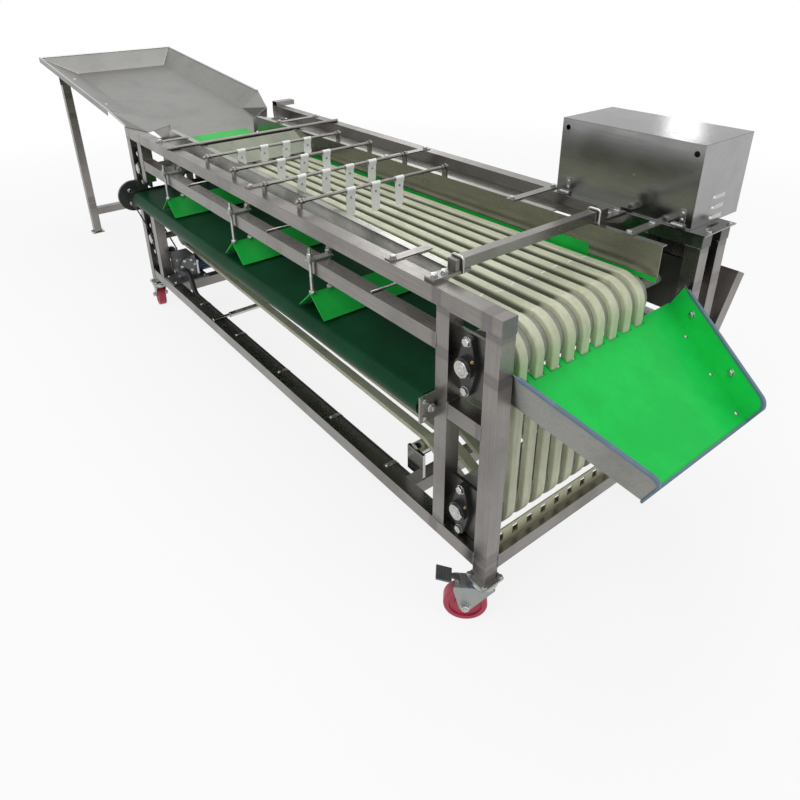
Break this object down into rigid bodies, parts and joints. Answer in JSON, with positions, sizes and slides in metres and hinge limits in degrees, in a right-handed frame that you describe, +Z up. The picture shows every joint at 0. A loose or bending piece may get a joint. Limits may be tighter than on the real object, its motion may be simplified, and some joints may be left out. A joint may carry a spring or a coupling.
{
  "type": "fruit grading machine",
  "caption": "Belt fruit grader: sloping feed tray, deck of diverging round belts over a cross conveyor with tent dividers, comb chute, hinged drive cover and a square-tube frame on casters.",
  "frame": {"origin": "on the floor at the middle of the whole footprint", "axes": "+X from the feed tray towards the discharge chute, +Y from the near operating side to the drive cover side, +Z up"},
  "size_m": [3.5526, 0.9598, 0.9875],
  "materials": {
    "stainless": "satin stainless sheet and tube",
    "green_sheet": "smooth green plastic sheet",
    "edge_rubber": "blue-grey edge trim",
    "conveyor_pvc": "dark green conveyor belting",
    "dark_cast": "dark cast housing",
    "cream_belt": "cream polyurethane belt",
    "blue_paint": "blue painted motor housing",
    "black_conduit": "black cable conduit",
    "zinc": "zinc plated pressed steel",
    "white_nylon": "white turned nylon",
    "roller_steel": "turned steel",
    "clear_strip": "translucent soft plastic",
    "red_wheel": "red polyurethane wheel"
  },
  "bodies": {
    "frame": {"posts": "stainless", "long_rails": "stainless", "cross_rails": "stainless", "outrigger": "stainless", "end_caps": "stainless", "window_strip": "stainless", "top_plate": "stainless", "side_channel": "stainless", "tray_pan": "stainless", "tray_legs": "stainless", "tray_lip": "green_sheet", "tray_supports": "stainless", "side_guides": "stainless", "brackets": "stainless", "tie_bars": "stainless", "feed_plate": "stainless", "chute_shell": "stainless", "chute_lining": "green_sheet", "chute_trim": "edge_rubber", "conveyor_frame": "stainless", "conveyor_belt": "conveyor_pvc", "nose_cover": "dark_cast", "bearing_plates": "stainless", "bearings": "dark_cast", "belts_top": "cream_belt", "belts_wraps": "cream_belt", "belts_end_runs": "cream_belt", "belts_return": "cream_belt", "belt_supports": "stainless", "gear_motor": "blue_paint", "chains": "dark_cast", "drive_motor": "blue_paint", "conduit": "black_conduit", "caster_plates": "zinc"},
    "box_cover": {"box_cover": "stainless"},
    "discharge_roller": {"discharge_roller": "white_nylon"},
    "low_right_roller": {"low_right_roller": "white_nylon"},
    "infeed_roller": {"infeed_roller": "white_nylon"},
    "low_left_roller": {"low_left_roller": "white_nylon"},
    "nose_roller": {"nose_roller": "roller_steel"},
    "tail_roller": {"tail_roller": "roller_steel"},
    "gear_sprocket": {"gear_sprocket": "roller_steel"},
    "drive_sprocket": {"drive_sprocket": "roller_steel"},
    "level_row_1": {"level_row_1": "clear_strip"},
    "level_row_2": {"level_row_2": "clear_strip"},
    "level_row_3": {"level_row_3": "clear_strip"},
    "level_row_4": {"level_row_4": "clear_strip"},
    "tent_1": {"tent_1": "green_sheet"},
    "tent_2": {"tent_2": "green_sheet"},
    "tent_3": {"tent_3": "green_sheet"},
    "fork_1": {"fork_1": "zinc"},
    "fork_2": {"fork_2": "zinc"},
    "fork_3": {"fork_3": "zinc"},
    "fork_4": {"fork_4": "zinc"},
    "wheel_1": {"wheel_1": "red_wheel"},
    "wheel_2": {"wheel_2": "red_wheel"},
    "wheel_3": {"wheel_3": "red_wheel"},
    "wheel_4": {"wheel_4": "red_wheel"},
    "pedal_1": {"pedal_1": "zinc"},
    "pedal_2": {"pedal_2": "zinc"}
  },
  "joints": [
    {"name": "discharge_roller_spin", "type": "hinge", "parent": "frame", "child": "discharge_roller", "pos_m": [1.41568, -0.06092, 0.64], "axis": [0, 1, 0], "continuous": true},
    {"name": "low_right_roller_spin", "type": "hinge", "parent": "frame", "child": "low_right_roller", "pos_m": [1.41568, -0.06092, 0.268], "axis": [0, 1, 0], "continuous": true},
    {"name": "infeed_roller_spin", "type": "hinge", "parent": "frame", "child": "infeed_roller", "pos_m": [-0.42632, -0.06092, 0.64], "axis": [0, 1, 0], "continuous": true},
    {"name": "low_left_roller_spin", "type": "hinge", "parent": "frame", "child": "low_left_roller", "pos_m": [-0.42632, -0.06092, 0.345], "axis": [0, 1, 0], "continuous": true},
    {"name": "drive_sprocket_spin", "type": "hinge", "parent": "frame", "child": "drive_sprocket", "pos_m": [1.41568, 0.30407, 0.85], "axis": [0, 1, 0], "continuous": true},
    {"name": "nose_roller_spin", "type": "hinge", "parent": "frame", "child": "nose_roller", "pos_m": [0.51368, -0.41792, 0.512], "axis": [1, 0, 0], "continuous": true},
    {"name": "tail_roller_spin", "type": "hinge", "parent": "frame", "child": "tail_roller", "pos_m": [0.51368, 0.19407, 0.512], "axis": [1, 0, 0], "continuous": true},
    {"name": "gear_sprocket_spin", "type": "hinge", "parent": "frame", "child": "gear_sprocket", "pos_m": [-0.45732, -0.32593, 0.258], "axis": [1, 0, 0], "continuous": true},
    {"name": "box_cover_hinge", "type": "hinge", "parent": "frame", "child": "box_cover", "pos_m": [1.29218, 0.23008, 0.796], "axis": [1, 0, 0], "range_deg": [0, 60]},
    {"name": "level_row_1_swing", "type": "hinge", "parent": "frame", "child": "level_row_1", "pos_m": [0.22768, -0.13992, 0.815], "axis": [0, 1, 0], "range_deg": [-40, 40]},
    {"name": "level_row_2_swing", "type": "hinge", "parent": "frame", "child": "level_row_2", "pos_m": [0.41568, -0.13992, 0.815], "axis": [0, 1, 0], "range_deg": [-40, 40]},
    {"name": "level_row_3_swing", "type": "hinge", "parent": "frame", "child": "level_row_3", "pos_m": [0.60268, -0.13992, 0.815], "axis": [0, 1, 0], "range_deg": [-40, 40]},
    {"name": "level_row_4_swing", "type": "hinge", "parent": "frame", "child": "level_row_4", "pos_m": [0.78968, -0.13992, 0.815], "axis": [0, 1, 0], "range_deg": [-40, 40]},
    {"name": "tent_1_slide", "type": "slide", "parent": "frame", "child": "tent_1", "axis": [1, 0, 0], "range_m": [-0.06, 0.06]},
    {"name": "tent_2_slide", "type": "slide", "parent": "frame", "child": "tent_2", "axis": [1, 0, 0], "range_m": [-0.06, 0.06]},
    {"name": "tent_3_slide", "type": "slide", "parent": "frame", "child": "tent_3", "axis": [1, 0, 0], "range_m": [-0.06, 0.06]},
    {"name": "caster_1_swivel", "type": "hinge", "parent": "frame", "child": "fork_1", "pos_m": [1.49468, -0.38693, 0.1], "axis": [0, 0, 1], "continuous": true},
    {"name": "wheel_1_spin", "type": "hinge", "parent": "fork_1", "child": "wheel_1", "pos_m": [1.4674, -0.41618, 0.05], "axis": [0.7314, -0.682, 0], "continuous": true},
    {"name": "pedal_1_press", "type": "hinge", "parent": "fork_1", "child": "pedal_1", "pos_m": [1.45376, -0.43081, 0.1155], "axis": [0.7314, -0.682, 0], "range_deg": [0, 14]},
    {"name": "caster_2_swivel", "type": "hinge", "parent": "frame", "child": "fork_2", "pos_m": [1.49468, 0.26508, 0.1], "axis": [0, 0, 1], "continuous": true},
    {"name": "wheel_2_spin", "type": "hinge", "parent": "fork_2", "child": "wheel_2", "pos_m": [1.45842, 0.24817, 0.05], "axis": [0.4226, -0.9063, 0], "continuous": true},
    {"name": "pedal_2_press", "type": "hinge", "parent": "fork_2", "child": "pedal_2", "pos_m": [1.4403, 0.23972, 0.1155], "axis": [0.4226, -0.9063, 0], "range_deg": [0, 14]},
    {"name": "caster_3_swivel", "type": "hinge", "parent": "frame", "child": "fork_3", "pos_m": [-0.48732, -0.38693, 0.1], "axis": [0, 0, 1], "continuous": true},
    {"name": "wheel_3_spin", "type": "hinge", "parent": "fork_3", "child": "wheel_3", "pos_m": [-0.52672, -0.37998, 0.05], "axis": [-0.1736, -0.9848, 0], "continuous": true},
    {"name": "caster_4_swivel", "type": "hinge", "parent": "frame", "child": "fork_4", "pos_m": [-0.48732, 0.26508, 0.1], "axis": [0, 0, 1], "continuous": true},
    {"name": "wheel_4_spin", "type": "hinge", "parent": "fork_4", "child": "wheel_4", "pos_m": [-0.52672, 0.25813, 0.05], "axis": [0.1736, -0.9848, 0], "continuous": true}
  ],
  "couplings": [
    {"joint": "low_right_roller_spin", "follows": "discharge_roller_spin", "ratio": 1},
    {"joint": "infeed_roller_spin", "follows": "discharge_roller_spin", "ratio": 1},
    {"joint": "low_left_roller_spin", "follows": "discharge_roller_spin", "ratio": 1},
    {"joint": "drive_sprocket_spin", "follows": "discharge_roller_spin", "ratio": 1},
    {"joint": "tail_roller_spin", "follows": "nose_roller_spin", "ratio": 1},
    {"joint": "gear_sprocket_spin", "follows": "nose_roller_spin", "ratio": 1}
  ]
}
